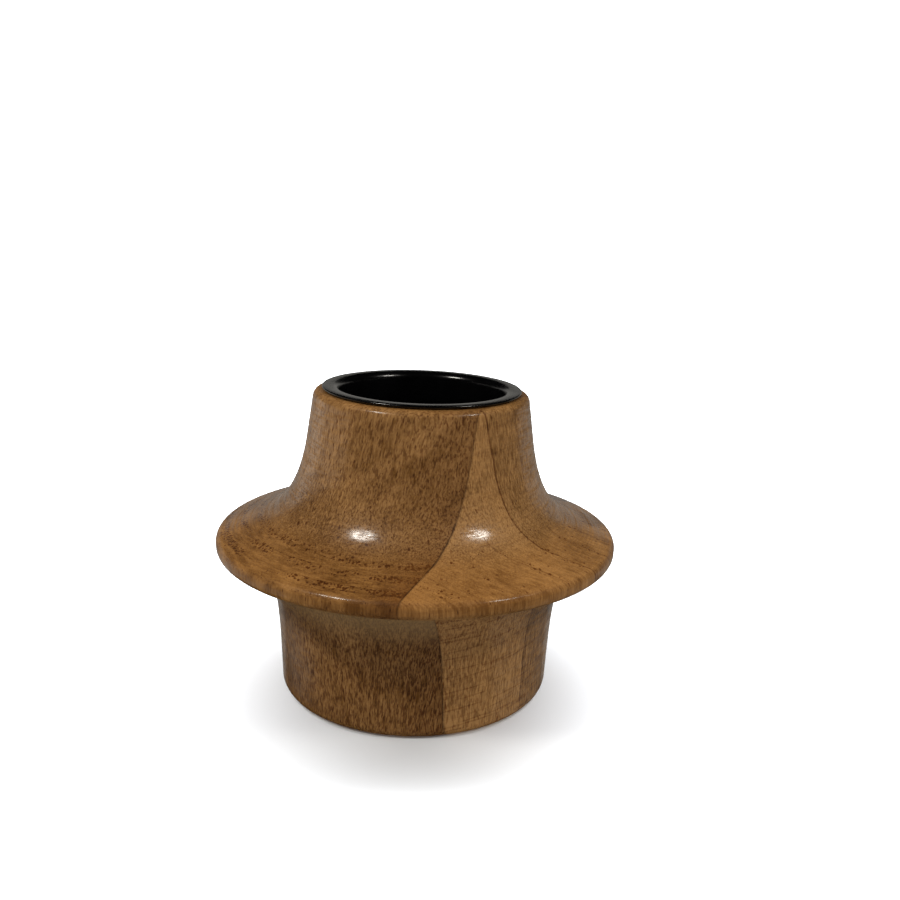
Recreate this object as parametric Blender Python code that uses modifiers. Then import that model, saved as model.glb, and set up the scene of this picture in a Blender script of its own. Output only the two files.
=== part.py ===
"""A turned wooden pen holder with a lift-out metal cup.

The wood is two blocks glued edge to edge and turned as one: a plain foot, a wide brim and a
flared neck, bored out for the cup. Metres, +Z up. The foot stands on z = 0, and the turning
axis is the Z axis.
"""

from math import cos, pi, radians, sin, tan

import bmesh
import bpy
from mathutils import Euler, Vector
from mathutils.geometry import interpolate_bezier

# Foot: its rounded lower edge, its nearly upright wall, and the fillet up to the brim
FOOT_RADIUS = 0.0345
FOOT_ROUND = 0.0026
WALL_LEAN = radians(1.8)
WALL_REACH = 0.018
FILLET_RADIUS = 0.0441
FILLET_REACH = 0.0086

# Brim
BRIM_RADIUS = 0.050
BRIM_UNDERSIDE = 0.037
BRIM_EDGE = 0.0046
BRIM_LOWER_ROUND = 0.0017
BRIM_UPPER_ROUND = 0.0020
BRIM_SLOPE = radians(20)

# Neck: straight down the brim, one long curve, and straight up to the rounded top
FLARE_RADIUS = 0.040
FLARE_REACH = 0.0079
NECK_START = 0.0652
NECK_REACH = 0.0094
NECK_SLOPE = radians(81.5)
NECK_RADIUS = 0.02655
NECK_ROUND = 0.0018
WOOD_HEIGHT = 0.0766

# Cup: its throat, floor and rolled flange
CUP_RADIUS = 0.0202
CUP_WALL = 0.0008
CUP_DEPTH = 0.060
CUP_FLOOR_ROUND = 0.0024
FLANGE_RADIUS = 0.0244
FLANGE_THICKNESS = 0.0006
LIP_ROUND = 0.0017
LIP_SLOPE = radians(8)

# Bore
BORE_CLEARANCE = 0.0004
BORE_CHAMFER = 0.0010

# Glue joint: a plane that leans a little, at this bearing and distance from the axis
GLUE_BEARING = radians(-32.8)
GLUE_DISTANCE = 0.02364
GLUE_HEIGHT = 0.040
GLUE_LEAN = radians(0.7)

GAP = 0.0003
TURNING_STEPS = 64
ROUND_STEPS = 4
FLARE_STEPS = 10
SHARP_EDGE = radians(35)
CUTTER_SIDE = 0.16

# Colour, roughness and metallic value of each material
DARK_WOOD = ((0.22, 0.095, 0.035, 1), 0.38, 0.0)
LIGHT_WOOD = ((0.36, 0.17, 0.07, 1), 0.38, 0.0)
BLACK_METAL = ((0.008, 0.008, 0.009, 1), 0.25, 0.0)


def clear_scene():
    """Start from nothing."""
    for item in list(bpy.data.objects):
        bpy.data.objects.remove(item)


def new_collection(name, drawn=True):
    """A collection for the parts, or for the cutters, which aren't drawn."""
    group = bpy.data.collections.new(name)
    group.hide_render = not drawn
    bpy.context.scene.collection.children.link(group)
    return group


def new_material(name, look):
    """A plain material from a colour, a roughness and a metallic value."""
    material = bpy.data.materials.new(name)
    material.use_nodes = True
    shader = material.node_tree.nodes["Principled BSDF"]
    for socket, value in zip(("Base Color", "Roughness", "Metallic"), look):
        shader.inputs[socket].default_value = value
    return material


def arc(radius, height, bend, start, end):
    """Points on an arc round a centre at (radius, height), between two angles."""
    angles = [start + (end - start) * i / ROUND_STEPS for i in range(ROUND_STEPS + 1)]
    return [(radius + bend * cos(angle), height + bend * sin(angle)) for angle in angles]


def sweep(start, start_slope, start_reach, end, end_slope, end_reach):
    """A curve that leaves one point and arrives at another, each along its own slope."""
    first = Vector((start[0], 0, start[1]))
    last = Vector((end[0], 0, end[1]))
    leaving = first + start_reach * Vector((cos(start_slope), 0, sin(start_slope)))
    arriving = last - end_reach * Vector((cos(end_slope), 0, sin(end_slope)))
    curve = interpolate_bezier(first, leaving, arriving, last, FLARE_STEPS + 1)
    return [(point.x, point.z) for point in curve]


def brim_edge():
    """The brim's rounded edge, from its slope down to its underside."""
    upper_height = BRIM_UNDERSIDE + BRIM_EDGE - BRIM_UPPER_ROUND
    lower_height = BRIM_UNDERSIDE + BRIM_LOWER_ROUND
    upper_radius = BRIM_RADIUS - BRIM_UPPER_ROUND
    lower_radius = BRIM_RADIUS - BRIM_LOWER_ROUND
    upper = arc(upper_radius, upper_height, BRIM_UPPER_ROUND, pi / 2 - BRIM_SLOPE, 0)
    return upper + arc(lower_radius, lower_height, BRIM_LOWER_ROUND, 0, -pi / 2)


def neck_line():
    """The neck's outer line, from its rounded top down to where the brim's slope begins."""
    round_height = WOOD_HEIGHT - NECK_ROUND
    top = arc(NECK_RADIUS - NECK_ROUND, round_height, NECK_ROUND, pi / 2, pi / 2 - NECK_SLOPE)
    neck_radius = top[-1][0] + (top[-1][1] - NECK_START) / tan(NECK_SLOPE)
    edge_radius, edge_height = brim_edge()[0]
    flare_height = edge_height + (edge_radius - FLARE_RADIUS) * tan(BRIM_SLOPE)
    neck = (neck_radius, NECK_START)
    flare = (FLARE_RADIUS, flare_height)
    return top + sweep(neck, -NECK_SLOPE, NECK_REACH, flare, -BRIM_SLOPE, FLARE_REACH)


def foot_line():
    """The foot's outer line, from the brim's underside down to the flat that it stands on."""
    fillet = (FILLET_RADIUS, BRIM_UNDERSIDE)
    wall = (FOOT_RADIUS, FOOT_ROUND)
    side = sweep(fillet, pi, FILLET_REACH, wall, -pi / 2 - WALL_LEAN, WALL_REACH)
    lower_edge = arc(FOOT_RADIUS - FOOT_ROUND, FOOT_ROUND, FOOT_ROUND, 0, -pi / 2)
    return side + lower_edge[1:]


def wood_profile():
    """Half the wood's section, from the bore's floor over the top and down to the foot."""
    bore = CUP_RADIUS + CUP_WALL + BORE_CLEARANCE
    floor = WOOD_HEIGHT - CUP_DEPTH - CUP_WALL
    bore_line = [
        (0, floor),
        (bore, floor),
        (bore, WOOD_HEIGHT - BORE_CHAMFER),
        (bore + BORE_CHAMFER, WOOD_HEIGHT),
    ]
    return bore_line + neck_line() + brim_edge() + foot_line() + [(0, 0)]


def cup_profile():
    """Half the cup's section, from its inner floor over the flange and down its outside."""
    flange_top = WOOD_HEIGHT + GAP + FLANGE_THICKNESS
    floor = flange_top - CUP_DEPTH
    wall = CUP_RADIUS + CUP_WALL
    lip_height = flange_top - LIP_ROUND
    under_round = LIP_ROUND - FLANGE_THICKNESS
    inner_floor = arc(
        CUP_RADIUS - CUP_FLOOR_ROUND, floor + CUP_FLOOR_ROUND, CUP_FLOOR_ROUND, -pi / 2, 0
    )
    lip = arc(CUP_RADIUS + LIP_ROUND, lip_height, LIP_ROUND, pi, pi / 2 + LIP_SLOPE)
    under_lip = arc(wall + under_round, lip_height, under_round, pi / 2, pi)
    outer_floor = arc(
        CUP_RADIUS - CUP_FLOOR_ROUND,
        floor + CUP_FLOOR_ROUND,
        CUP_FLOOR_ROUND + CUP_WALL,
        0,
        -pi / 2,
    )
    edge = FLANGE_THICKNESS / 2
    rim = arc(FLANGE_RADIUS - edge, flange_top - edge, edge, pi / 2, -pi / 2)
    return [(0, floor)] + inner_floor + lip + rim + under_lip + outer_floor + [(0, floor - CUP_WALL)]


def turned(name, profile, group, material=None):
    """A solid of revolution: a half section swept round Z."""
    mesh = bpy.data.meshes.new(name)
    shape = bmesh.new()
    points = [shape.verts.new((radius, 0, height)) for radius, height in profile]
    for above, below in zip(points, points[1:]):
        shape.edges.new((above, below))
    shape.to_mesh(mesh)
    shape.free()
    if material:
        mesh.materials.append(material)
    solid = bpy.data.objects.new(name, mesh)
    group.objects.link(solid)
    screw = solid.modifiers.new("turning", "SCREW")
    screw.axis = "Z"
    screw.steps = TURNING_STEPS
    screw.render_steps = TURNING_STEPS
    screw.use_merge_vertices = True
    screw.merge_threshold = 0.00001
    return solid


def apply_turning(solid):
    """Make the turned shape plain mesh, shaded smooth between its edges."""
    graph = bpy.context.evaluated_depsgraph_get()
    mesh = bpy.data.meshes.new_from_object(solid.evaluated_get(graph))
    solid.modifiers.clear()
    solid.data = mesh
    mesh.shade_smooth()
    mesh.set_sharp_from_angle(angle=SHARP_EDGE)


def glue_cutter(name, side, group):
    """A block on one side of the glue plane: 1 is away from the axis, and -1 is towards it."""
    mesh = bpy.data.meshes.new(name)
    shape = bmesh.new()
    bmesh.ops.create_cube(shape, size=CUTTER_SIDE)
    shape.to_mesh(mesh)
    shape.free()
    cutter = bpy.data.objects.new(name, mesh)
    cutter.display_type = "WIRE"
    cutter.hide_render = True
    group.objects.link(cutter)
    turn = Euler((0, -GLUE_LEAN, GLUE_BEARING))
    plane = Vector(
        (GLUE_DISTANCE * cos(GLUE_BEARING), GLUE_DISTANCE * sin(GLUE_BEARING), GLUE_HEIGHT)
    )
    normal = turn.to_matrix() @ Vector((1, 0, 0))
    cutter.rotation_euler = turn
    cutter.location = plane + side * (CUTTER_SIDE / 2 - GAP / 2) * normal
    return cutter


def wood_block(name, look, cut_side, parts, cutters):
    """One of the two glued blocks: the turned wood, cut off at the glue plane."""
    block = turned(name, wood_profile(), parts, new_material(name, look))
    apply_turning(block)
    joint = block.modifiers.new("glue_joint", "BOOLEAN")
    joint.operation = "DIFFERENCE"
    joint.solver = "EXACT"
    joint.object = glue_cutter(name + "_cutter", cut_side, cutters)
    return block


def metal_cup(parts):
    """The thin cup that drops into the bore and hangs on its flange."""
    cup = turned("pen_cup", cup_profile(), parts, new_material("pen_cup", BLACK_METAL))
    apply_turning(cup)
    return cup


def main():
    """Build the holder: two wood blocks and the cup."""
    clear_scene()
    parts = new_collection("dip_pen_holder")
    cutters = new_collection("cutters", drawn=False)
    wood_block("main_block", DARK_WOOD, 1, parts, cutters)
    wood_block("side_block", LIGHT_WOOD, -1, parts, cutters)
    metal_cup(parts)


main()
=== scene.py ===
"""Looks for a turned wooden pen holder with a lift-out metal cup.

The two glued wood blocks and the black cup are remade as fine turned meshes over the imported
model, and each gets its own solid, node-based finish. Metres, +Z up, the turning axis is Z.
"""

import logging
from dataclasses import dataclass, field
from enum import Enum
from math import cos, hypot, pi, radians, sin, tan
from typing import Any

import bmesh
import bpy
from mathutils import Euler, Matrix, Vector
from mathutils.geometry import interpolate_bezier


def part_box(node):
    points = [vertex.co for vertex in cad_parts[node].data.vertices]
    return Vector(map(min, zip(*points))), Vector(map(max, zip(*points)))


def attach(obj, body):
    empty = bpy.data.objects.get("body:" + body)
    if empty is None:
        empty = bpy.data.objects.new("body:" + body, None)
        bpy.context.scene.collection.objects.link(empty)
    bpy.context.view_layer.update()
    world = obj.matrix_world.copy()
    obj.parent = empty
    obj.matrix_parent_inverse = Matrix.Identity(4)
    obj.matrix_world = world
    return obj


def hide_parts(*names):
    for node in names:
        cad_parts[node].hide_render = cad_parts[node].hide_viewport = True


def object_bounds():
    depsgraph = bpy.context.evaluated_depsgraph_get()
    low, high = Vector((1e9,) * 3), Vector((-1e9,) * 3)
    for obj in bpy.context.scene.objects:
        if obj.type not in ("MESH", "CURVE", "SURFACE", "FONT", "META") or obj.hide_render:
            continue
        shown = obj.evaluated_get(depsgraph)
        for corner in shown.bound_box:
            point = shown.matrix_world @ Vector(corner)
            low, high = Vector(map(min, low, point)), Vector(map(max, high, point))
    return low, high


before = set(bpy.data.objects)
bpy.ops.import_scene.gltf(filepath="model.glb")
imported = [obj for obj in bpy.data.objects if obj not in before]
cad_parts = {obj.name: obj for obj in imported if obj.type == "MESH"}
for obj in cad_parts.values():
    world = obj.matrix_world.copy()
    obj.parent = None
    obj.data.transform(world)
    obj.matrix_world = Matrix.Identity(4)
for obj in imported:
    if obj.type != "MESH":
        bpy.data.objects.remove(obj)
CAD_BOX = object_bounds()
MILLIMETRES = 1000.0
SHARP_EDGE = radians(32)
CURVE_POINTS = 41
# In metres
MERGE_DISTANCE = 0.000002
LONGEST_FACE = 0.0012

Point = tuple[float, float]
Colour = tuple[float, float, float]
log = logging.getLogger("pen_holder")


# ---------------------------------------------------------------- shader expressions


class Link:
    """A number that a shader works out, usable in Python arithmetic."""

    def __init__(self, nodes: "Nodes", socket: bpy.types.NodeSocket) -> None:
        """Wrap one output socket.

        Args:
            nodes: the maker of the material's nodes.
            socket: the output socket that carries the number.
        """
        self.nodes = nodes
        self.socket = socket

    def math(self, operation: str, *others: Any) -> "Link":
        """Pass the number, and any others, through one Math node.

        Args:
            operation: the Math node's operation.
            others: the further numbers or links.

        Returns:
            The result as a link.
        """
        inputs = dict(enumerate((self, *others)))
        node = self.nodes.add("ShaderNodeMath", {"operation": operation}, inputs)
        return Link(self.nodes, node.outputs[0])

    def __add__(self, other: Any) -> "Link":
        """Add."""
        return self.math("ADD", other)

    __radd__ = __add__

    def __mul__(self, other: Any) -> "Link":
        """Multiply."""
        return self.math("MULTIPLY", other)

    __rmul__ = __mul__

    def __sub__(self, other: Any) -> "Link":
        """Subtract."""
        return self.math("SUBTRACT", other)

    def __rsub__(self, other: float) -> "Link":
        """Subtract from a number."""
        return self.nodes.number(other).math("SUBTRACT", self)

    def __truediv__(self, other: Any) -> "Link":
        """Divide."""
        return self.math("DIVIDE", other)

    def fraction(self) -> "Link":
        """Give the part after the point."""
        return self.math("FRACT")

    def size(self) -> "Link":
        """Give the number without its sign."""
        return self.math("ABSOLUTE")

    def step(self, low: float, high: float) -> "Link":
        """Rise smoothly from 0 at one value to 1 at another.

        Args:
            low: where the rise starts.
            high: where it ends; below low, the result falls instead.

        Returns:
            A number from 0 to 1.
        """
        settings = {"interpolation_type": "SMOOTHSTEP"}
        rising = high > low
        inputs = {
            "Value": self,
            "From Min": min(low, high),
            "From Max": max(low, high),
            "To Min": 0.0 if rising else 1.0,
            "To Max": 1.0 if rising else 0.0,
        }
        return Link(self.nodes, self.nodes.add("ShaderNodeMapRange", settings, inputs).outputs[0])

    def near(self, centre: float, reach: float) -> "Link":
        """Give 1 at one value, falling smoothly to 0 at a distance from it."""
        return (self - centre).size().step(reach, 0.0)


class Place:
    """A position or a direction that a shader works out."""

    def __init__(self, nodes: "Nodes", socket: bpy.types.NodeSocket) -> None:
        """Wrap one vector output.

        Args:
            nodes: the maker of the material's nodes.
            socket: the output socket that carries the vector.
        """
        self.nodes = nodes
        self.socket = socket

    def math(self, operation: str, *others: Any) -> bpy.types.Node:
        """Pass the vector, and any others, through one Vector Math node.

        Args:
            operation: the node's operation.
            others: the further vectors or numbers.

        Returns:
            The node.
        """
        inputs = dict(enumerate((self, *others)))
        return self.nodes.add("ShaderNodeVectorMath", {"operation": operation}, inputs)

    def __add__(self, other: Any) -> "Place":
        """Add a vector."""
        return Place(self.nodes, self.math("ADD", other).outputs[0])

    def __sub__(self, other: Any) -> "Place":
        """Subtract a vector."""
        return Place(self.nodes, self.math("SUBTRACT", other).outputs[0])

    def __mul__(self, other: Any) -> "Place":
        """Multiply axis by axis."""
        return Place(self.nodes, self.math("MULTIPLY", other).outputs[0])

    def dot(self, direction: tuple[float, float, float]) -> Link:
        """Measure along a direction."""
        return Link(self.nodes, self.math("DOT_PRODUCT", direction).outputs["Value"])

    def length(self) -> Link:
        """Measure from the origin."""
        return Link(self.nodes, self.math("LENGTH").outputs["Value"])

    def noise(self, pitch: float, detail: float = 2.0, rough: float = 0.5) -> Link:
        """Vary smoothly with position, about 0.5.

        Args:
            pitch: the size of one lump, in the vector's own units.
            detail: how many finer layers are added.
            rough: how strong the finer layers are.

        Returns:
            A number from about 0.2 to 0.8.
        """
        inputs = {"Vector": self, "Scale": 1.0 / pitch, "Detail": detail, "Roughness": rough}
        node = self.nodes.add("ShaderNodeTexNoise", {"noise_dimensions": "3D"}, inputs)
        return Link(self.nodes, node.outputs[0])

    def wander(self, pitch: float, reach: float) -> "Place":
        """Shift the position by a smooth random amount.

        Args:
            pitch: the size of one wave.
            reach: the largest shift, in the vector's own units.

        Returns:
            The shifted position.
        """
        inputs = {"Vector": self, "Scale": 1.0 / pitch, "Detail": 1.0}
        node = self.nodes.add("ShaderNodeTexNoise", {"noise_dimensions": "3D"}, inputs)
        drift = Place(self.nodes, node.outputs[1]) - (0.5, 0.5, 0.5)
        return self + drift * (reach, reach, reach)

    def cells(self) -> tuple[Link, Link]:
        """Scatter one point in each unit cell.

        Returns:
            The distance to the nearest point, and that point's own random number.
        """
        node = self.nodes.add("ShaderNodeTexVoronoi", {}, {"Vector": self, "Scale": 1.0})
        parts = self.nodes.add("ShaderNodeSeparateColor", {}, {0: Place(self.nodes, node.outputs[1])})
        return Link(self.nodes, node.outputs[0]), Link(self.nodes, parts.outputs[0])


class Nodes:
    """Makes the nodes of one material, or of the world."""

    def __init__(self, owner: bpy.types.ID) -> None:
        """Start with no nodes.

        Args:
            owner: the new material or world.
        """
        self.owner = owner
        owner.use_nodes = True
        self.tree = owner.node_tree
        self.tree.nodes.clear()

    def add(self, kind: str, settings: dict[str, Any], inputs: dict[Any, Any]) -> bpy.types.Node:
        """Add one node.

        Args:
            kind: the node's type.
            settings: its properties, set before its inputs.
            inputs: values or links, by socket name or number.

        Returns:
            The node.
        """
        node = self.tree.nodes.new(kind)
        for name, value in settings.items():
            setattr(node, name, value)
        for name, value in inputs.items():
            socket = node.inputs[name]
            if isinstance(value, (Link, Place)):
                self.tree.links.new(value.socket, socket)
            else:
                socket.default_value = value
        return node

    def number(self, value: float) -> Link:
        """Give a plain number as a link."""
        node = self.add("ShaderNodeValue", {}, {})
        node.outputs[0].default_value = value
        return Link(self, node.outputs[0])

    def place(self) -> Place:
        """Give the position on the piece, in millimetres."""
        node = self.add("ShaderNodeTexCoord", {}, {})
        return Place(self, node.outputs["Object"]) * (MILLIMETRES, MILLIMETRES, MILLIMETRES)

    def split(self, place: Place) -> tuple[Link, Link, Link]:
        """Give a position's three parts."""
        node = self.add("ShaderNodeSeparateXYZ", {}, {0: place})
        return Link(self, node.outputs[0]), Link(self, node.outputs[1]), Link(self, node.outputs[2])

    def join(self, x: Any, y: Any, z: Any) -> Place:
        """Make a position of three parts."""
        node = self.add("ShaderNodeCombineXYZ", {}, {0: x, 1: y, 2: z})
        return Place(self, node.outputs[0])

    def blend(self, amount: Any, first: Any, second: Any, how: str = "MIX") -> Place:
        """Mix two colours.

        Args:
            amount: 0 gives the first and 1 the second.
            first: a colour, or a link to one.
            second: another.
            how: the Mix node's blend type.

        Returns:
            The mixed colour.
        """
        settings = {"data_type": "RGBA", "blend_type": how, "clamp_factor": True}
        colours = [value if isinstance(value, Place) else (*value, 1.0) for value in (first, second)]
        node = self.add("ShaderNodeMix", settings, {0: amount, 6: colours[0], 7: colours[1]})
        return Place(self, node.outputs[2])

    def bump(self, height: Link, depth: float) -> Place:
        """Turn a height from 0 to 1 into a tilted surface.

        Args:
            height: the height.
            depth: what a height of 1 measures, in metres.

        Returns:
            The surface's direction.
        """
        node = self.add("ShaderNodeBump", {}, {"Height": height, "Strength": 1.0, "Distance": depth})
        return Place(self, node.outputs[0])

    def surface(self, **inputs: Any) -> bpy.types.Material:
        """Finish the material with one Principled shader.

        Args:
            inputs: its sockets, with underscores for the spaces in their names.

        Returns:
            The material.
        """
        named = {name.replace("_", " "): value for name, value in inputs.items()}
        shader = self.add("ShaderNodeBsdfPrincipled", {}, named)
        output = self.add("ShaderNodeOutputMaterial", {}, {})
        self.tree.links.new(shader.outputs[0], output.inputs[0])
        return self.owner


# ---------------------------------------------------------------- finishes


@dataclass(frozen=True)
class Pattern:
    """A random pattern, sharpened so that it runs from 0 to 1.

    Args:
        pitch: the size of one mark across the fibres, in millimetres.
        squeeze: how much Z counts; below 1 the marks are longer than they are wide.
        low: the noise that becomes 0.
        high: the noise that becomes 1.
        detail: how many finer layers the noise has.
        rough: how strong those layers are.
    """

    pitch: float
    squeeze: float = 1.0
    low: float = 0.32
    high: float = 0.68
    detail: float = 2.0
    rough: float = 0.5

    def draw(self, place: Place, lift: Any = 0.0) -> Link:
        """Lay the pattern over a piece.

        Args:
            place: the position on the piece.
            lift: what is added to the noise, so that more of the marks show.

        Returns:
            A number from 0 to 1.
        """
        noise = (place * (1.0, 1.0, self.squeeze)).noise(self.pitch, self.detail, self.rough)
        return (noise + lift).step(self.low, self.high)


# Along the fibres
STREAKS = Pattern(pitch=0.36, squeeze=0.06, rough=0.6)
THREADS = Pattern(pitch=1.1, squeeze=0.15, low=0.30, high=0.70)
GRAIN = Pattern(pitch=0.42, squeeze=0.25, rough=0.7)
FLECKS = Pattern(pitch=0.33, squeeze=0.17, low=0.53, high=0.61, detail=1.0, rough=0.6)
BLEACHED = Pattern(pitch=0.8, squeeze=0.06, low=0.52, high=0.66)
# Across the wood
FIGURE_BANDS = Pattern(pitch=5.5, low=0.30, high=0.70)
PATCHES = Pattern(pitch=23.0, detail=1.5)
BLOTCHES = Pattern(pitch=9.0, low=0.34, high=0.66)
RIPPLES = Pattern(pitch=1.0, low=0.54, high=0.64, rough=0.6)
GLUE_PATCHES = Pattern(pitch=4.0, low=0.35, high=0.65)
# Along the growth rings
RINGLETS = Pattern(pitch=0.8, detail=3.0, rough=0.75)
FADING = Pattern(pitch=8.0, low=0.38, high=0.60)
CROWDING = Pattern(pitch=9.0, low=0.42, high=0.50)
# Round the turning axis
TOOL_LINES = Pattern(pitch=0.36, rough=0.6)
RUBBING = Pattern(pitch=0.55, low=0.45, high=0.60, detail=3.0, rough=0.8)
# On the cup
HANDLING = Pattern(pitch=9.0, low=0.35, high=0.70, detail=3.0)


@dataclass(frozen=True)
class GlueJoint:
    """The plane where the two wood blocks meet.

    Args:
        bearing: the way the plane faces, round the turning axis.
        distance: how far it is from the axis, in metres.
        height: where that distance is measured.
        lean: how far the plane looks upwards.
    """

    bearing: float = radians(-32.8)
    distance: float = 0.02364
    height: float = 0.040
    lean: float = radians(0.7)

    def normal(self) -> Vector:
        """Give the way the plane faces, away from the axis."""
        return Euler((0, -self.lean, self.bearing)).to_matrix() @ Vector((1, 0, 0))

    def centre(self) -> Vector:
        """Give a point on the plane."""
        flat = (self.distance * cos(self.bearing), self.distance * sin(self.bearing))
        return Vector((*flat, self.height))

    def offset(self) -> float:
        """Give the plane's distance from the origin along its normal, in millimetres."""
        return self.normal().dot(self.centre()) * MILLIMETRES


# The zones of the turned wood in millimetres: a centre and a reach or, for a border, where it
# starts and ends
BRIM_HEIGHT = (41.5, 8.5)
BRIM_BORDER = (29.0, 39.0)
FOOT_BORDER = (36.0, 31.0)
LOW_FOOT_BORDER = (31.0, 23.0)
FILLET_HEIGHT = (32.0, 9.0)
FILLET_BORDER = (48.5, 46.0)
RIM_BORDER = (49.0, 49.7)
BRIM_CORNER_HEIGHT = (40.4, 2.0)
BRIM_CORNER_BORDER = (47.0, 48.6)
NECK_CORNER_HEIGHT = (76.6, 2.0)
WAIST_HEIGHT = (48.0, 12.0)
FLARE_HEIGHT = (54.0, 15.0)
FRONT_WIDTH = (-3.0, 22.0)
LEFT_BORDER = (-8.0, -19.0)
SHEEN_RIGHT_BORDER = (26.0, 44.0)
BESIDE_GLUE = (11.0, 0.0)


class Zones:
    """The position on the turned wood, and its zones, each 1 inside and falling smoothly to 0 outside."""

    def __init__(self, nodes: Nodes, joint: GlueJoint) -> None:
        """Work out the zones.

        Args:
            nodes: the maker of the material's nodes.
            joint: the glue joint.
        """
        self.place = nodes.place()
        self.x, self.y, self.z = nodes.split(self.place)
        self.radius = nodes.join(self.x, self.y, 0.0).length()
        self.gap = self.place.dot(tuple(joint.normal())) - joint.offset()
        self.brim = self.z.near(*BRIM_HEIGHT) * self.radius.step(*BRIM_BORDER)
        self.foot = self.z.step(*FOOT_BORDER)
        self.low_foot = self.z.step(*LOW_FOOT_BORDER)
        self.fillet = self.z.near(*FILLET_HEIGHT) * self.radius.step(*FILLET_BORDER)
        self.rim = self.radius.step(*RIM_BORDER)
        brim_corner = self.z.near(*BRIM_CORNER_HEIGHT) * self.radius.step(*BRIM_CORNER_BORDER)
        self.corner = brim_corner * 0.72 + self.z.near(*NECK_CORNER_HEIGHT)
        self.waist = self.z.near(*WAIST_HEIGHT)
        self.flare = self.z.near(*FLARE_HEIGHT)
        self.front = self.x.near(*FRONT_WIDTH)
        self.left_neck = self.x.step(*LEFT_BORDER) * (1.0 - self.brim) * (1.0 - self.foot)
        # Painted sheen: the brim's right side, which is made paler and less amber
        self.painted_sheen_right = self.x.step(*SHEEN_RIGHT_BORDER) * self.brim
        self.beside_glue = self.gap.size().step(*BESIDE_GLUE)

    def weigh(
        self, base: float, brim: float = 0.0, foot: float = 0.0, rim: float = 0.0,
        fillet: float = 0.0, corner: float = 0.0, waist: float = 0.0,
    ) -> Link:
        """Give a strength that changes from zone to zone.

        Args:
            base: the strength outside the zones.
            brim: what the brim adds to it.
            foot: what the foot adds.
            rim: what the brim's outer face adds.
            fillet: what the fillet under the brim adds.
            corner: what the rounded corners add.
            waist: what the lowest part of the neck adds.

        Returns:
            The strength.
        """
        extras = (
            (self.brim, brim), (self.foot, foot), (self.rim, rim),
            (self.fillet, fillet), (self.corner, corner), (self.waist, waist),
        )
        strength: Any = base
        for zone, extra in extras:
            if extra:
                strength = zone * extra + strength
        return strength


@dataclass(frozen=True)
class WoodFinish:
    """A clear-lacquered hardwood with growth rings, open pores and fine fibres.

    Lengths are in millimetres.

    Args:
        name: the material's name.
        pith: where the rings' centre crosses the foot's plane.
        ring_width: from one growth ring to the next.
        ring_start: the radius of the strongest ring's edge.
        ring_taper: how much a ring's radius grows for each unit of height.
        ring_line: how dark a ring's edge is.
        strip: how much paler the wood outside that strongest edge is.
        inner_light: how much paler the wood inside it is, where the neck flares.
        deep: the darker wood colour.
        pale: the lighter wood colour.
        honey: the darker colour of the brim.
        amber: the lighter colour of the brim.
        pore_share: how much of the wood shows pores between the ring edges.
        dot_share: how much of a ring's edge on the brim shows large pores.
        flecks: how strongly short dark dashes show.
        streaks: how strongly long fine fibres show.
        blotches: how uneven the brim is.
        ripple: how strongly dark bands cross the fibres.
        lean: how far the fibres lean to the right for each millimetre that they rise.
        fan: how much that lean grows for each millimetre to the right.
        rim_shade: how much darker the brim's outer face is.
        foot_tone_and_painted_shade: how much darker the lower foot is, partly the wood's own colour and
            partly painted shade.
        glue_shade: how much darker the wood beside the glue joint is.
        fillet_painted_light: painted light from below: how far the fillet under the brim is mixed towards a
            paler, greyer colour.
        rubbed: how much of the lacquer's gloss is rubbed away in places.
        joint: the glue joint, which shows as a thin dark line.
    """

    name: str
    pith: Point
    ring_width: float
    ring_start: float
    ring_taper: float
    ring_line: float
    strip: float
    inner_light: float
    deep: Colour
    pale: Colour
    honey: Colour
    amber: Colour
    pore_share: float
    dot_share: float
    flecks: float
    streaks: float
    blotches: float
    ripple: float
    lean: float
    fan: float
    rim_shade: float
    foot_tone_and_painted_shade: float
    glue_shade: float
    fillet_painted_light: float
    rubbed: float
    joint: GlueJoint = field(default_factory=GlueJoint)

    def material(self) -> bpy.types.Material:
        """Make the material."""
        return WoodShader(self).material()


@dataclass(frozen=True)
class Vessels:
    """One size of the open vessels that the turning has cut.

    Args:
        width: from one vessel to the next across the fibres, in millimetres.
        length: the same along them.
        reach: how much of that space a vessel fills.
    """

    width: float
    length: float
    reach: float

    def cut(self, fibres: Place, share: Link) -> Link:
        """Cut the vessels.

        Args:
            fibres: the position among straight fibres.
            share: how many vessels are open, from 0 to 1.

        Returns:
            1 inside a vessel and 0 outside.
        """
        shrink = (1 / self.width, 1 / self.width, 1 / self.length)
        distance, chance = (fibres * shrink).cells()
        is_open = (share - chance).step(-0.04, 0.04)
        return distance.step(self.reach, self.reach * 0.45) * is_open


FINE_VESSELS = Vessels(width=0.60, length=2.2, reach=0.28)
WIDE_VESSELS = Vessels(width=0.95, length=4.4, reach=0.20)


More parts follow.
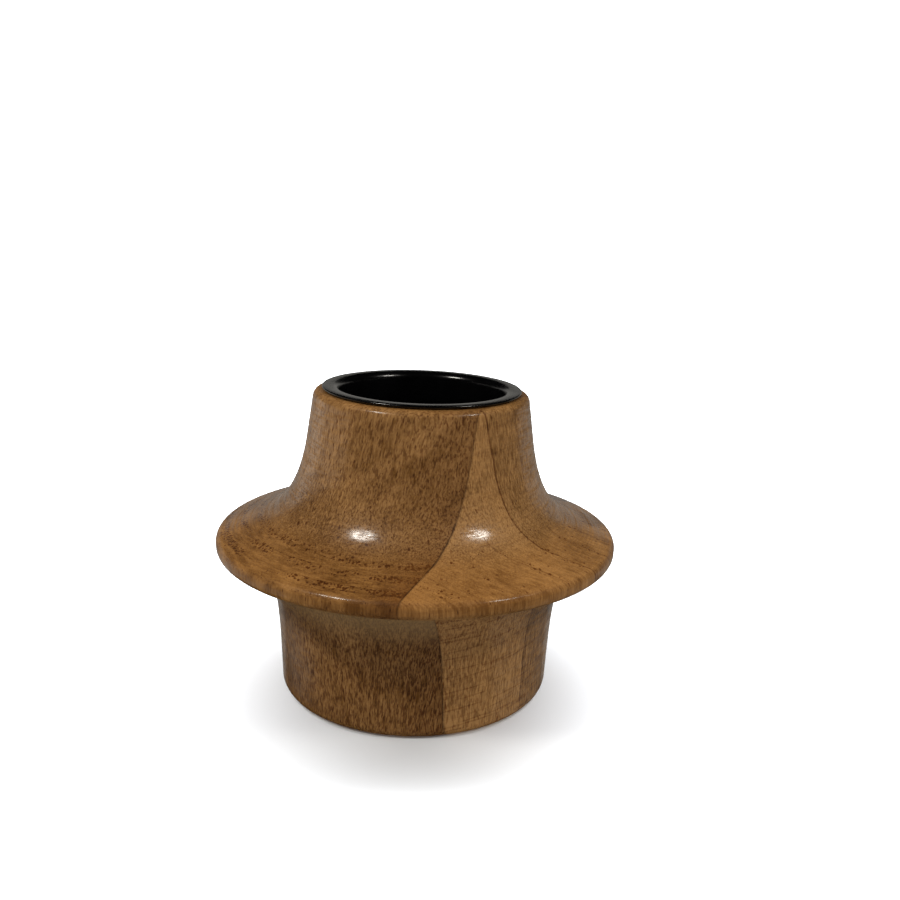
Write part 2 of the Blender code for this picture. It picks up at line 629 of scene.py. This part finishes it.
class WoodShader:
    """The shader of one wood finish. Lengths are in millimetres."""

    FIBRE_HEIGHT = 40.0
    FOLD_HEIGHT = 42.0
    # Where a change starts and where it ends
    ACROSS_FIGURE = (8.0, 34.0)
    RING_LINE = (0.30, 0.08)
    DOTTED_EDGE = (1.15, 0.75)
    GLUE_LINE = (0.34, 0.06)
    # The same, counted in rings from the strongest one
    OUTER_RINGS = (1.7, 1.3)
    STRIP_EDGE = (0.0, 0.05)
    # How many large pores there are in each millimetre, and how much of that space one fills
    DOT_CELLS = (1.4, 1.4, 0.30)
    DOT_REACH = (0.52, 0.34)
    PORE_TINT = (0.38, 0.26, 0.13)
    # Painted light from below, on the fillet under the brim
    PAINTED_FILLET_LIGHT = (0.41, 0.265, 0.115)
    GLUE = (0.030, 0.013, 0.005)
    # In metres
    RELIEF_DEPTH = 0.00010

    def __init__(self, wood: WoodFinish) -> None:
        """Work out what the shader's parts share.

        Args:
            wood: the finish.
        """
        self.wood = wood
        self.nodes = Nodes(bpy.data.materials.new(wood.name))
        self.zones = Zones(self.nodes, wood.joint)
        self.fibres = self.fibre_place()
        self.rings = self.ring_count()
        ring = self.rings.fraction()
        self.to_edge = ring.math("MINIMUM", 1.0 - ring) * wood.ring_width
        crowd = CROWDING.draw(self.zones.place, self.zones.front * 0.10)
        self.dotted_edge = self.to_edge.step(*self.DOTTED_EDGE) * crowd * self.zones.brim
        share = self.dotted_edge * 0.75 + wood.pore_share
        fine, wide = (vessels.cut(self.fibres, share) for vessels in (FINE_VESSELS, WIDE_VESSELS))
        self.pores = fine.math("MAXIMUM", wide)
        self.streaks = STREAKS.draw(self.fibres)
        self.flecks = FLECKS.draw(self.fibres, self.zones.foot * 0.035)
        self.tool_lines = TOOL_LINES.draw(self.round_axis(0.08))

    def fibre_place(self) -> Place:
        """Straighten the fibres.

        Returns:
            The position among fibres that run along Z.
        """
        x, y, z = self.nodes.split(self.zones.place.wander(30.0, 3.0))
        return self.nodes.join(x - (z - self.FIBRE_HEIGHT) * (x * self.wood.fan + self.wood.lean), y, z)

    def round_axis(self, drift: float) -> Place:
        """Give the position in the half section, with a slow drift from left to right."""
        return self.nodes.join(self.zones.radius, self.zones.z, self.zones.x * drift)

    def ring_count(self) -> Link:
        """Count rings outwards from the pith.

        Returns:
            A number that grows by 1 with each ring and is 0 at the strongest ring's edge.
        """
        x, y, z = self.nodes.split(self.zones.place.wander(24.0, 2.2).wander(5.0, 0.5))
        away = self.nodes.join(x - self.wood.pith[0], y - self.wood.pith[1], 0.0).length()
        return (away + z * self.wood.ring_taper - self.wood.ring_start) / self.wood.ring_width

    def ring_lines(self) -> Link:
        """Draw the rings' dark edges: one strong line and faint ones, up to one ring outside it.

        Returns:
            A number from 0 to 1, at its highest on the lines.
        """
        zones = self.zones
        faded = FADING.draw(zones.place)
        faint = zones.weigh(0.16, brim=0.28, foot=-0.11) + faded * zones.weigh(0.26, foot=-0.16)
        strong = self.rings.near(0.0, 0.5) * zones.weigh(0.60, brim=-0.44)
        lines = self.to_edge.step(*self.RING_LINE) * (faint + strong)
        return lines * self.rings.step(*self.OUTER_RINGS) * (1.0 - zones.brim * faded * 0.35)

    def dots(self) -> Link:
        """Scatter large pores along the rings' edges on the brim.

        Returns:
            1 inside a pore and 0 outside.
        """
        distance, chance = (self.zones.place.wander(2.0, 0.6) * self.DOT_CELLS).cells()
        shown = (self.dotted_edge * self.wood.dot_share - chance).step(-0.05, 0.05)
        return distance.step(*self.DOT_REACH) * shown

    def figure(self) -> Link:
        """Lay broad soft bands that rise to the right on the neck and fall to the right on the foot.

        Returns:
            A number from 0, dark, to 1, light.
        """
        x, y, z = self.nodes.split(self.zones.place.wander(18.0, 5.0))
        fold = (z - self.FOLD_HEIGHT).size()
        across = fold * 0.8 - x * 0.6
        along = fold * 0.6 + x * 0.8
        bands = FIGURE_BANDS.draw(self.nodes.join(along * 0.30, y * 0.45, across))
        return bands * 0.62 + across.step(*self.ACROSS_FIGURE) * 0.38

    def tone(self) -> Link:
        """Work out how light the bare wood is.

        Returns:
            A number from 0, its darker colour, to 1, its lighter colour.
        """
        wood, zones = self.wood, self.zones
        along_rings = self.nodes.join(self.rings * wood.ring_width, zones.x * 0.16, zones.y * 0.16)
        outside = self.rings.step(*self.STRIP_EDGE)
        # The fine patterns run from 0 to 1, so half of each weight is taken off to keep the mean
        threads, grain = 0.15, 0.32
        fine = THREADS.draw(self.fibres) * threads + GRAIN.draw(self.fibres) * grain
        fine = fine + self.streaks * wood.streaks - (threads + grain + wood.streaks) / 2
        tone = self.figure() * 0.44 + PATCHES.draw(zones.place) * 0.20 + 0.18
        tone = tone + fine * zones.weigh(1.0, brim=-0.5)
        tone = tone + RINGLETS.draw(along_rings) * zones.brim * 0.58 - zones.brim * 0.27
        # The lower foot's darkening is partly the wood's own colour and partly painted shade
        tone = tone - zones.low_foot * wood.foot_tone_and_painted_shade - zones.rim * wood.rim_shade
        tone = tone + (BLOTCHES.draw(zones.place) - 0.5) * zones.brim * wood.blotches
        tone = tone + BLEACHED.draw(self.fibres) * zones.left_neck * 0.32
        # The extra paleness on the brim's right side is a painted sheen
        tone = tone + outside * zones.weigh(1.0, brim=-0.4) * wood.strip + zones.painted_sheen_right * 0.06
        return tone + (1.0 - outside) * zones.flare * wood.inner_light

    def shade(self) -> Link:
        """Work out how much the marks in the wood darken it.

        Returns:
            A number from 0, bare wood, to 1, as dark as a pore.
        """
        wood, zones = self.wood, self.zones
        crossing = self.nodes.join(zones.x * 0.07, zones.y * 0.07, zones.z - zones.x * 0.12)
        shade = self.flecks * zones.weigh(0.80, foot=0.24, brim=-0.45, rim=-0.25) * wood.flecks
        shade = shade + self.pores * 0.75 + self.dots() * zones.weigh(1.7, rim=-1.4)
        shade = shade + self.ring_lines() * wood.ring_line + self.tool_lines * zones.fillet * 0.25
        shade = shade + zones.beside_glue * zones.weigh(0.85, foot=0.10, brim=1.25) * wood.glue_shade
        return shade + RIPPLES.draw(crossing) * zones.weigh(0.4, foot=0.6) * wood.ripple

    def glue_line(self) -> Link:
        """Draw the thin uneven line of the glue joint.

        Returns:
            How much glue shows, from 0 to 1.
        """
        zones = self.zones
        wavering = (zones.gap + zones.place.noise(3.0) * 0.5 - 0.25).size()
        filled = 0.5 + GLUE_PATCHES.draw(zones.place) * 0.5
        return wavering.step(*self.GLUE_LINE) * filled * zones.weigh(0.25, waist=0.55, foot=0.25)

    def colour(self) -> Place:
        """Mix the colour from the wood, its marks, the painted light on the fillet under the brim and the
        glue.

        Returns:
            The colour.
        """
        wood, zones, blend = self.wood, self.zones, self.nodes.blend
        tone = self.tone()
        # The brim's own amber colour, less a painted sheen on its right side
        amber_share_less_sheen = zones.brim * 0.85 - zones.painted_sheen_right * 0.30
        colour = blend(amber_share_less_sheen, blend(tone, wood.deep, wood.pale), blend(tone, wood.honey, wood.amber))
        colour = blend(self.shade(), colour, blend(1.0, colour, self.PORE_TINT, "MULTIPLY"))
        # Painted light: the fillet under the brim is made paler and greyer, where light from the floor would
        # reach it
        colour = blend(zones.fillet * wood.fillet_painted_light, colour, self.PAINTED_FILLET_LIGHT)
        return blend(self.glue_line(), colour, self.GLUE)

    def relief(self) -> Link:
        """Raise fibres and tool lines, and sink pores and flecks.

        Returns:
            The height of the surface, as a share of the relief's depth.
        """
        cut = self.pores * 0.5 + self.flecks * 0.2
        turned = self.tool_lines * self.zones.weigh(0.16, fillet=0.2, corner=0.2)
        return 0.6 - cut + self.streaks * 0.2 + turned

    def gloss(self) -> Link:
        """Dull the clear lacquer where it is rubbed, over a mark and on the corners.

        Returns:
            How much lacquer shows, from 0 to 1.
        """
        rubbed = RUBBING.draw(self.round_axis(0.16)) * self.wood.rubbed
        marked = (1.0 - self.pores * 0.5) * (1.0 - self.flecks * 0.4)
        return (1.0 - rubbed) * marked * (1.0 - self.zones.corner * 0.95)

    def material(self) -> bpy.types.Material:
        """Make the material."""
        return self.nodes.surface(
            Base_Color=self.colour(),
            Roughness=0.36 + self.streaks * 0.10 + self.pores * 0.25 + self.flecks * 0.06,
            Normal=self.nodes.bump(self.relief(), self.RELIEF_DEPTH),
            Specular_IOR_Level=0.15,
            Coat_Weight=self.gloss(),
            Coat_Roughness=0.17,
            Coat_IOR=1.65,
        )


@dataclass(frozen=True)
class BlackEnamel:
    """A gloss black coating on thin metal.

    Args:
        name: the material's name.
        colour: the coating's colour.
        worn: the colour where handling has dulled it.
        roughness: how rough the coating is.
        worn_roughness: what handling adds to that.
        peel_pitch: the size of the coating's faint dimples in millimetres.
        peel_depth: how deep they are in metres.
    """

    name: str = "black_enamel"
    colour: Colour = (0.0012, 0.0012, 0.0014)
    worn: Colour = (0.004, 0.004, 0.0045)
    roughness: float = 0.17
    worn_roughness: float = 0.07
    peel_pitch: float = 0.9
    peel_depth: float = 0.00002

    def material(self) -> bpy.types.Material:
        """Make the material."""
        nodes = Nodes(bpy.data.materials.new(self.name))
        place = nodes.place()
        handled = HANDLING.draw(place)
        return nodes.surface(
            Base_Color=nodes.blend(handled * 0.4, self.colour, self.worn),
            Roughness=self.roughness + handled * self.worn_roughness,
            Normal=nodes.bump(place.noise(self.peel_pitch), self.peel_depth),
            Coat_Weight=0.3,
            Coat_Roughness=0.10,
        )


@dataclass(frozen=True)
class PaleFloor:
    """A matt, nearly white sweep with painted light: it glows by itself away from the object, which leaves it
    darker round the object.

    Args:
        name: the material's name.
        colour: its colour.
        painted_glow: its own painted glow far from the object.
        painted_glow_start: where that glow starts, in millimetres from the object.
        painted_glow_end: where it is at its full strength.
    """

    name: str = "pale_floor"
    colour: Colour = (0.83, 0.85, 0.88)
    painted_glow: Colour = (1.0, 1.0, 1.0)
    painted_glow_start: float = 70.0
    painted_glow_end: float = 330.0

    def material(self) -> bpy.types.Material:
        """Make the material."""
        nodes = Nodes(bpy.data.materials.new(self.name))
        # Painted light: the floor glows by itself, from nothing near the object to full far from it, so it is
        # darker round the object
        away = nodes.place().length().step(self.painted_glow_start, self.painted_glow_end)
        return nodes.surface(
            Base_Color=(*self.colour, 1.0),
            Roughness=1.0,
            Specular_IOR_Level=0.0,
            Emission_Color=nodes.blend(away, (0.0, 0.0, 0.0), self.painted_glow),
            Emission_Strength=1.0,
        )


HEARTWOOD = WoodFinish(
    name="dark_hardwood",
    pith=(2.4, 3.0),
    ring_width=4.2,
    ring_start=43.3,
    ring_taper=0.03,
    ring_line=0.25,
    strip=0.0,
    inner_light=0.0,
    deep=(0.130, 0.049, 0.005),
    pale=(0.440, 0.222, 0.072),
    honey=(0.168, 0.065, 0.011),
    amber=(0.458, 0.213, 0.053),
    pore_share=0.30,
    dot_share=0.90,
    flecks=0.75,
    streaks=0.30,
    blotches=0.11,
    ripple=0.05,
    lean=0.12,
    fan=0.006,
    rim_shade=0.10,
    foot_tone_and_painted_shade=0.138,
    glue_shade=0.30,
    fillet_painted_light=0.48,
    rubbed=0.75,
)
SAPWOOD = WoodFinish(
    name="light_hardwood",
    pith=(50.0, 45.0),
    ring_width=9.1,
    ring_start=71.6,
    ring_taper=-0.06,
    ring_line=0.80,
    strip=0.34,
    inner_light=0.175,
    deep=(0.160, 0.070, 0.014),
    pale=(0.480, 0.245, 0.080),
    honey=(0.228, 0.090, 0.017),
    amber=(0.495, 0.231, 0.061),
    pore_share=0.10,
    dot_share=0.30,
    flecks=0.45,
    streaks=0.55,
    blotches=0.385,
    ripple=0.34,
    lean=0.0,
    fan=0.0,
    rim_shade=0.35,
    foot_tone_and_painted_shade=0.046,
    glue_shade=0.10,
    fillet_painted_light=0.06,
    rubbed=0.875,
)


# ---------------------------------------------------------------- turned shapes


def arc(radius: float, height: float, bend: float, start: float, end: float, steps: int = 10) -> list[Point]:
    """Trace an arc.

    Args:
        radius: the centre's distance from the axis.
        height: the centre's height.
        bend: the arc's own radius.
        start: the angle it starts at.
        end: the angle it ends at.
        steps: how many straight pieces it has.

    Returns:
        Its points as (radius, height).
    """
    angles = [start + (end - start) * i / steps for i in range(steps + 1)]
    return [(radius + bend * cos(angle), height + bend * sin(angle)) for angle in angles]


def sweep(start: Point, leave: float, reach: float, end: Point, arrive: float, pull: float) -> list[Point]:
    """Trace one free curve between two points.

    Args:
        start: where it starts.
        leave: the slope it leaves with.
        reach: how long it holds that slope.
        end: where it ends.
        arrive: the slope it arrives with.
        pull: how long it holds that slope.

    Returns:
        Its points as (radius, height).
    """
    first, last = Vector((*start, 0)), Vector((*end, 0))
    one = first + reach * Vector((cos(leave), sin(leave), 0))
    two = last - pull * Vector((cos(arrive), sin(arrive), 0))
    return [(point.x, point.y) for point in interpolate_bezier(first, one, two, last, CURVE_POINTS)]


def spaced(outline: list[Point], pitch: float) -> list[Point]:
    """Add points along long straight stretches.

    Args:
        outline: the points.
        pitch: the longest stretch allowed.

    Returns:
        The outline with no longer stretch.
    """
    dense = [outline[0]]
    for (r0, z0), (r1, z1) in zip(outline, outline[1:]):
        parts = max(1, round(hypot(r1 - r0, z1 - z0) / pitch))
        for i in range(1, parts + 1):
            dense.append((r0 + (r1 - r0) * i / parts, z0 + (z1 - z0) * i / parts))
    return dense


def turn(name: str, outline: list[Point], sides: int) -> bmesh.types.BMesh:
    """Sweep a half section round the axis.

    Args:
        name: what is turned, for the log.
        outline: the section, from the axis down the outside and back to the axis.
        sides: how many sides the turned shape has.

    Returns:
        The closed shape.
    """
    section = bpy.data.meshes.new(name + "_section")
    points = [(radius, 0.0, height) for radius, height in outline]
    section.from_pydata(points, [(i, i + 1) for i in range(len(points) - 1)], [])
    blank = bpy.data.objects.new(name + "_blank", section)
    bpy.context.scene.collection.objects.link(blank)
    lathe = blank.modifiers.new("lathe", "SCREW")
    lathe.steps = lathe.render_steps = sides
    lathe.use_merge_vertices = True
    lathe.merge_threshold = MERGE_DISTANCE
    graph = bpy.context.evaluated_depsgraph_get()
    turned = bpy.data.meshes.new_from_object(blank.evaluated_get(graph))
    shape = bmesh.new()
    shape.from_mesh(turned)
    for spare in (turned, section):
        bpy.data.meshes.remove(spare)
    log.info("%s turned: %d faces", name, len(shape.faces))
    return shape


def finish_piece(
    name: str, shape: bmesh.types.BMesh, material: bpy.types.Material, body: str, node: str
) -> bpy.types.Object:
    """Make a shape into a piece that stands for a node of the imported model.

    Args:
        name: the piece's name.
        shape: its mesh, which is used up.
        material: its finish.
        body: the body that it rides on.
        node: the node that it stands for.

    Returns:
        The piece.
    """
    mesh = bpy.data.meshes.new(name)
    shape.to_mesh(mesh)
    shape.free()
    mesh.shade_smooth()
    mesh.set_sharp_from_angle(angle=SHARP_EDGE)
    mesh.materials.append(material)
    piece = bpy.data.objects.new(name, mesh)
    bpy.context.scene.collection.objects.link(piece)
    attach(piece, body)
    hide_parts(node)
    log.info("%s rides on %s and stands for %s", name, body, node)
    return piece


class Side(Enum):
    """Which side of the glue joint a wood block is on."""

    MAIN = 1
    GLUED_ON = -1


@dataclass
class TurnedWood:
    """The two wood blocks, turned as one.

    Args:
        height: the top of the wood.
        brim_radius: the widest radius.
        foot_radius: the foot's radius above its rounded edge.
        foot_round: that edge's rounding.
        wall_lean: how far the foot's wall leans out.
        wall_reach: how long it keeps that lean.
        fillet_radius: where the fillet meets the brim's underside.
        fillet_reach: how long it runs along it.
        underside: the height of the brim's underside.
        edge: the height of the brim's edge.
        lower_round: the rounding under that edge.
        upper_round: the rounding above it.
        brim_slope: the slope of the brim's upper side.
        flare_radius: where that slope starts to curve up.
        flare_reach: how long the curve keeps that slope.
        neck_start: the height where the neck is straight again.
        neck_reach: how long the curve keeps the neck's slope.
        neck_slope: the neck's slope.
        neck_radius: its radius at the top.
        neck_round: the rounding of the top edge.
        bore_radius: the bore's radius.
        bore_floor: the height of its floor.
        bore_chamfer: the chamfer at its mouth.
        glue_gap: what is left open between the blocks.
        sides: how many sides the turned shape has.
        joint: the glue joint between the blocks.
    """

    height: float
    brim_radius: float
    foot_radius: float = 0.0345
    foot_round: float = 0.0026
    wall_lean: float = radians(1.8)
    wall_reach: float = 0.018
    fillet_radius: float = 0.0441
    fillet_reach: float = 0.0086
    underside: float = 0.037
    edge: float = 0.0046
    lower_round: float = 0.0017
    upper_round: float = 0.0020
    brim_slope: float = radians(20)
    flare_radius: float = 0.040
    flare_reach: float = 0.0079
    neck_start: float = 0.0652
    neck_reach: float = 0.0094
    neck_slope: float = radians(81.5)
    neck_radius: float = 0.02655
    neck_round: float = 0.0018
    bore_radius: float = 0.0214
    bore_floor: float = 0.0158
    bore_chamfer: float = 0.0010
    glue_gap: float = 0.00004
    sides: int = 256
    joint: GlueJoint = field(default_factory=GlueJoint)

    def brim_edge(self) -> list[Point]:
        """Trace the brim's edge.

        Returns:
            Its points, from the brim's slope to its underside.
        """
        upper_centre = (self.brim_radius - self.upper_round, self.underside + self.edge - self.upper_round)
        lower_centre = (self.brim_radius - self.lower_round, self.underside + self.lower_round)
        upper = arc(*upper_centre, self.upper_round, pi / 2 - self.brim_slope, 0)
        return upper + arc(*lower_centre, self.lower_round, 0, -pi / 2)

    def neck(self) -> list[Point]:
        """Trace the neck.

        Returns:
            Its points, from the rounded top to the brim's slope.
        """
        top_centre = (self.neck_radius - self.neck_round, self.height - self.neck_round)
        top = arc(*top_centre, self.neck_round, pi / 2, pi / 2 - self.neck_slope)
        start = (top[-1][0] + (top[-1][1] - self.neck_start) / tan(self.neck_slope), self.neck_start)
        edge_radius, edge_height = self.brim_edge()[0]
        end = (self.flare_radius, edge_height + (edge_radius - self.flare_radius) * tan(self.brim_slope))
        return top + sweep(start, -self.neck_slope, self.neck_reach, end, -self.brim_slope, self.flare_reach)

    def foot(self) -> list[Point]:
        """Trace the fillet, the foot's wall and its rounded edge.

        Returns:
            Their points, from the brim's underside to the floor.
        """
        wall = sweep(
            (self.fillet_radius, self.underside), pi, self.fillet_reach,
            (self.foot_radius, self.foot_round), -pi / 2 - self.wall_lean, self.wall_reach,
        )
        edge_centre = (self.foot_radius - self.foot_round, self.foot_round)
        return wall + arc(*edge_centre, self.foot_round, 0, -pi / 2)[1:]

    def outline(self) -> list[Point]:
        """Trace the whole half section.

        Returns:
            Its points, from the bore's floor over the outside to the foot's underside.
        """
        bore = [
            (0, self.bore_floor),
            (self.bore_radius, self.bore_floor),
            (self.bore_radius, self.height - self.bore_chamfer),
            (self.bore_radius + self.bore_chamfer, self.height),
        ]
        return spaced(bore + self.neck() + self.brim_edge() + self.foot() + [(0, 0)], LONGEST_FACE)

    def block(self, side: Side, finish: WoodFinish, node: str) -> bpy.types.Object:
        """Make one block: the turned wood on one side of the glue joint.

        Args:
            side: which side.
            finish: its wood.
            node: the node that it stands for.

        Returns:
            The piece.
        """
        shape = turn(node, self.outline(), self.sides)
        normal = self.joint.normal()
        cut = bmesh.ops.bisect_plane(
            shape,
            geom=shape.verts[:] + shape.edges[:] + shape.faces[:],
            plane_co=self.joint.centre() - side.value * self.glue_gap / 2 * normal,
            plane_no=normal,
            clear_outer=side is Side.MAIN,
            clear_inner=side is Side.GLUED_ON,
        )
        rim = [item for item in cut["geom_cut"] if isinstance(item, bmesh.types.BMEdge)]
        bmesh.ops.edgenet_fill(shape, edges=rim)
        bmesh.ops.recalc_face_normals(shape, faces=shape.faces[:])
        return finish_piece(node + "_wood", shape, finish.material(), "holder", node)


@dataclass
class MetalCup:
    """The thin cup with its rolled flange.

    Args:
        top: the flange's highest point.
        bottom: the cup's lowest point.
        flange_radius: the flange's outer radius.
        radius: the throat's inner radius.
        wall: the wall's thickness.
        floor_round: the rounding round the floor.
        flange: the flange's thickness.
        lip_round: the rounding from the flange into the throat.
        lip_slope: the angle from level at which that rounding stops.
        sides: how many sides the turned shape has.
    """

    top: float
    bottom: float
    flange_radius: float
    radius: float = 0.0202
    wall: float = 0.0008
    floor_round: float = 0.0024
    flange: float = 0.0006
    lip_round: float = 0.0017
    lip_slope: float = radians(8)
    sides: int = 256

    def outline(self) -> list[Point]:
        """Trace the whole half section.

        Returns:
            Its points, from the inner floor over the flange to the underside.
        """
        floor = self.bottom + self.wall
        floor_centre = (self.radius - self.floor_round, floor + self.floor_round)
        lip_height = self.top - self.lip_round
        under_round = self.lip_round - self.flange
        edge = self.flange / 2
        outline = [(0, floor)]
        outline += arc(*floor_centre, self.floor_round, -pi / 2, 0)
        outline += arc(self.radius + self.lip_round, lip_height, self.lip_round, pi, pi / 2 + self.lip_slope)
        outline += arc(self.flange_radius - edge, self.top - edge, edge, pi / 2, -pi / 2)
        outline += arc(self.radius + self.wall + under_round, lip_height, under_round, pi / 2, pi)
        outline += arc(*floor_centre, self.floor_round + self.wall, 0, -pi / 2)
        return spaced(outline + [(0, self.bottom)], LONGEST_FACE)

    def build(self, finish: BlackEnamel, node: str, slot: str) -> bpy.types.Object:
        """Make the cup.

        Args:
            finish: its coating.
            node: the node that it stands for.
            slot: the name of a material slot; not used.

        Returns:
            The piece.
        """
        shape = turn(node, self.outline(), self.sides)
        return finish_piece(node + "_enamelled", shape, finish.material(), "cup", node)


# ---------------------------------------------------------------- studio


@dataclass(frozen=True)
class Lamp:
    """A rectangular lamp that faces the object.

    Args:
        name: the lamp's name.
        bearing: its direction round the object in degrees, 0 in front and 90 to the right.
        rise: its height above the horizon in degrees.
        distance: how far it is from the point that it faces.
        size: its width and depth.
        power: its power in watts.
        colour: its colour.
        aim_height: the height of the point that it faces.
    """

    name: str
    bearing: float
    rise: float
    distance: float
    size: Point
    power: float
    colour: Colour = (1.0, 0.965, 0.89)
    aim_height: float = 0.05

    def hang(self) -> bpy.types.Object:
        """Hang the lamp.

        Returns:
            The lamp, which the camera doesn't see.
        """
        data = bpy.data.lights.new(self.name, "AREA")
        data.shape = "RECTANGLE"
        data.size, data.size_y = self.size
        data.energy = self.power
        data.color = self.colour
        lamp = bpy.data.objects.new(self.name, data)
        side, up = radians(self.bearing), radians(self.rise)
        way = Vector((sin(side) * cos(up), -cos(side) * cos(up), sin(up)))
        lamp.location = Vector((0, 0, self.aim_height)) + self.distance * way
        lamp.rotation_euler = way.to_track_quat("Z", "Y").to_euler()
        lamp.visible_camera = False
        bpy.context.scene.collection.objects.link(lamp)
        return lamp


ROOM_LAMPS = (
    Lamp("left_lamp", bearing=-57, rise=47, distance=0.9, size=(0.19, 0.12), power=2.5),
    Lamp("right_lamp", bearing=59, rise=43, distance=0.9, size=(0.21, 0.12), power=1.70),
    Lamp("back_wall", bearing=180, rise=-10, distance=0.8, size=(3.40, 0.75), power=2.3),
    Lamp("left_wall", bearing=-105, rise=-12, distance=0.8, size=(0.90, 0.60), power=0.5),
    Lamp("right_wall", bearing=105, rise=-32, distance=0.8, size=(0.90, 0.60), power=0.22),
)
OVERHEAD_LAMP = Lamp(
    "overhead_lamp", bearing=180, rise=74, distance=0.8, size=(1.90, 0.34), power=23.0, colour=(1.0, 1.0, 1.0)
)


@dataclass
class Studio:
    """The floor, the lamps and the camera.

    Args:
        floor_radius: how far the floor reaches before it curves up.
        wall_round: the radius of that curve.
        wall_height: how high the wall goes.
        floor_sides: how many sides the floor has.
        camera_place: where the camera stands.
        pitch: how far it looks down.
        yaw: how far it looks to the right.
        roll: how far it is turned anticlockwise.
        lens: its focal length in millimetres.
        film: its film's width in millimetres.
        shift: its shift across and up.
        nearest: the nearest thing it sees.
        room_light: how bright the even light of the room is.
    """

    floor_radius: float = 1.1
    wall_round: float = 0.5
    wall_height: float = 1.6
    floor_sides: int = 96
    camera_place: tuple[float, float, float] = (0.0, -0.2299, 0.1198)
    pitch: float = 0.28111
    yaw: float = 0.09145
    roll: float = 0.05232
    lens: float = 37.69
    film: float = 36.0
    shift: Point = (-0.05913, 0.03717)
    nearest: float = 0.01
    room_light: float = 0.46

    def camera(self) -> bpy.types.Object:
        """Place the camera.

        Returns:
            The camera.
        """
        data = bpy.data.cameras.new("camera")
        data.lens = self.lens
        data.sensor_width = self.film
        data.shift_x, data.shift_y = self.shift
        data.clip_start = self.nearest
        camera = bpy.data.objects.new("camera", data)
        aim = Euler((pi / 2 - self.pitch, 0, -self.yaw)).to_matrix()
        turned = (aim @ Matrix.Rotation(self.roll, 3, "Z")).to_4x4()
        camera.matrix_world = Matrix.Translation(self.camera_place) @ turned
        bpy.context.scene.collection.objects.link(camera)
        bpy.context.scene.camera = camera
        return camera

    def floor(self, finish: PaleFloor) -> bpy.types.Object:
        """Make the round floor, with its wall curving up all round.

        Args:
            finish: its paint.

        Returns:
            The floor, which only the camera sees.
        """
        outline = [(0.0, 0.0)] + arc(self.floor_radius, self.wall_round, self.wall_round, -pi / 2, 0)
        outline.append((self.floor_radius + self.wall_round, self.wall_height))
        shape = turn("floor", outline, self.floor_sides)
        mesh = bpy.data.meshes.new("floor")
        shape.to_mesh(mesh)
        shape.free()
        mesh.shade_smooth()
        mesh.materials.append(finish.material())
        floor = bpy.data.objects.new("floor", mesh)
        bpy.context.scene.collection.objects.link(floor)
        floor.visible_diffuse = False
        floor.visible_glossy = False
        floor.visible_shadow = False
        return floor

    def light_from_above(self, floor: bpy.types.Object) -> None:
        """Hang the lamp that lights only the floor, so that the object's shadow falls there.

        Args:
            floor: the floor.
        """
        lit = bpy.data.collections.new("lit_from_above")
        lit.objects.link(floor)
        OVERHEAD_LAMP.hang().light_linking.receiver_collection = lit

    def fill_room(self) -> None:
        """Fill the room with even light that no gloss reflects."""
        room = bpy.data.worlds.new("room")
        bpy.context.scene.world = room
        room.use_nodes = True
        light = room.node_tree.nodes["Background"].inputs
        light["Color"].default_value = (1.0, 1.0, 1.0, 1.0)
        light["Strength"].default_value = self.room_light
        room.cycles_visibility.glossy = False

    def build(self) -> None:
        """Set up everything round the object."""
        self.camera()
        floor = self.floor(PaleFloor())
        for lamp in ROOM_LAMPS:
            lamp.hang()
        self.light_from_above(floor)
        self.fill_room()
        bpy.context.scene.view_settings.view_transform = "Standard"
        log.info("studio set up: %d lamps", len(ROOM_LAMPS) + 1)


def main() -> None:
    """Build the holder's pieces and the studio, in order."""
    logging.basicConfig(level=logging.INFO, format="%(name)s: %(message)s")
    low, high = (Vector(corner) for corner in CAD_BOX)
    wood_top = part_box("main_block")[1].z
    cup_low, cup_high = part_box("pen_cup")
    wood = TurnedWood(height=wood_top, brim_radius=(high.x - low.x) / 2)
    wood.block(Side.MAIN, HEARTWOOD, "main_block")
    wood.block(Side.GLUED_ON, SAPWOOD, "side_block")
    cup = MetalCup(top=cup_high.z, bottom=cup_low.z, flange_radius=cup_high.x)
    cup.build(BlackEnamel(), "pen_cup", "black_metal")
    Studio().build()
    log.info("sizes written")


if __name__ == "__main__":
    main()
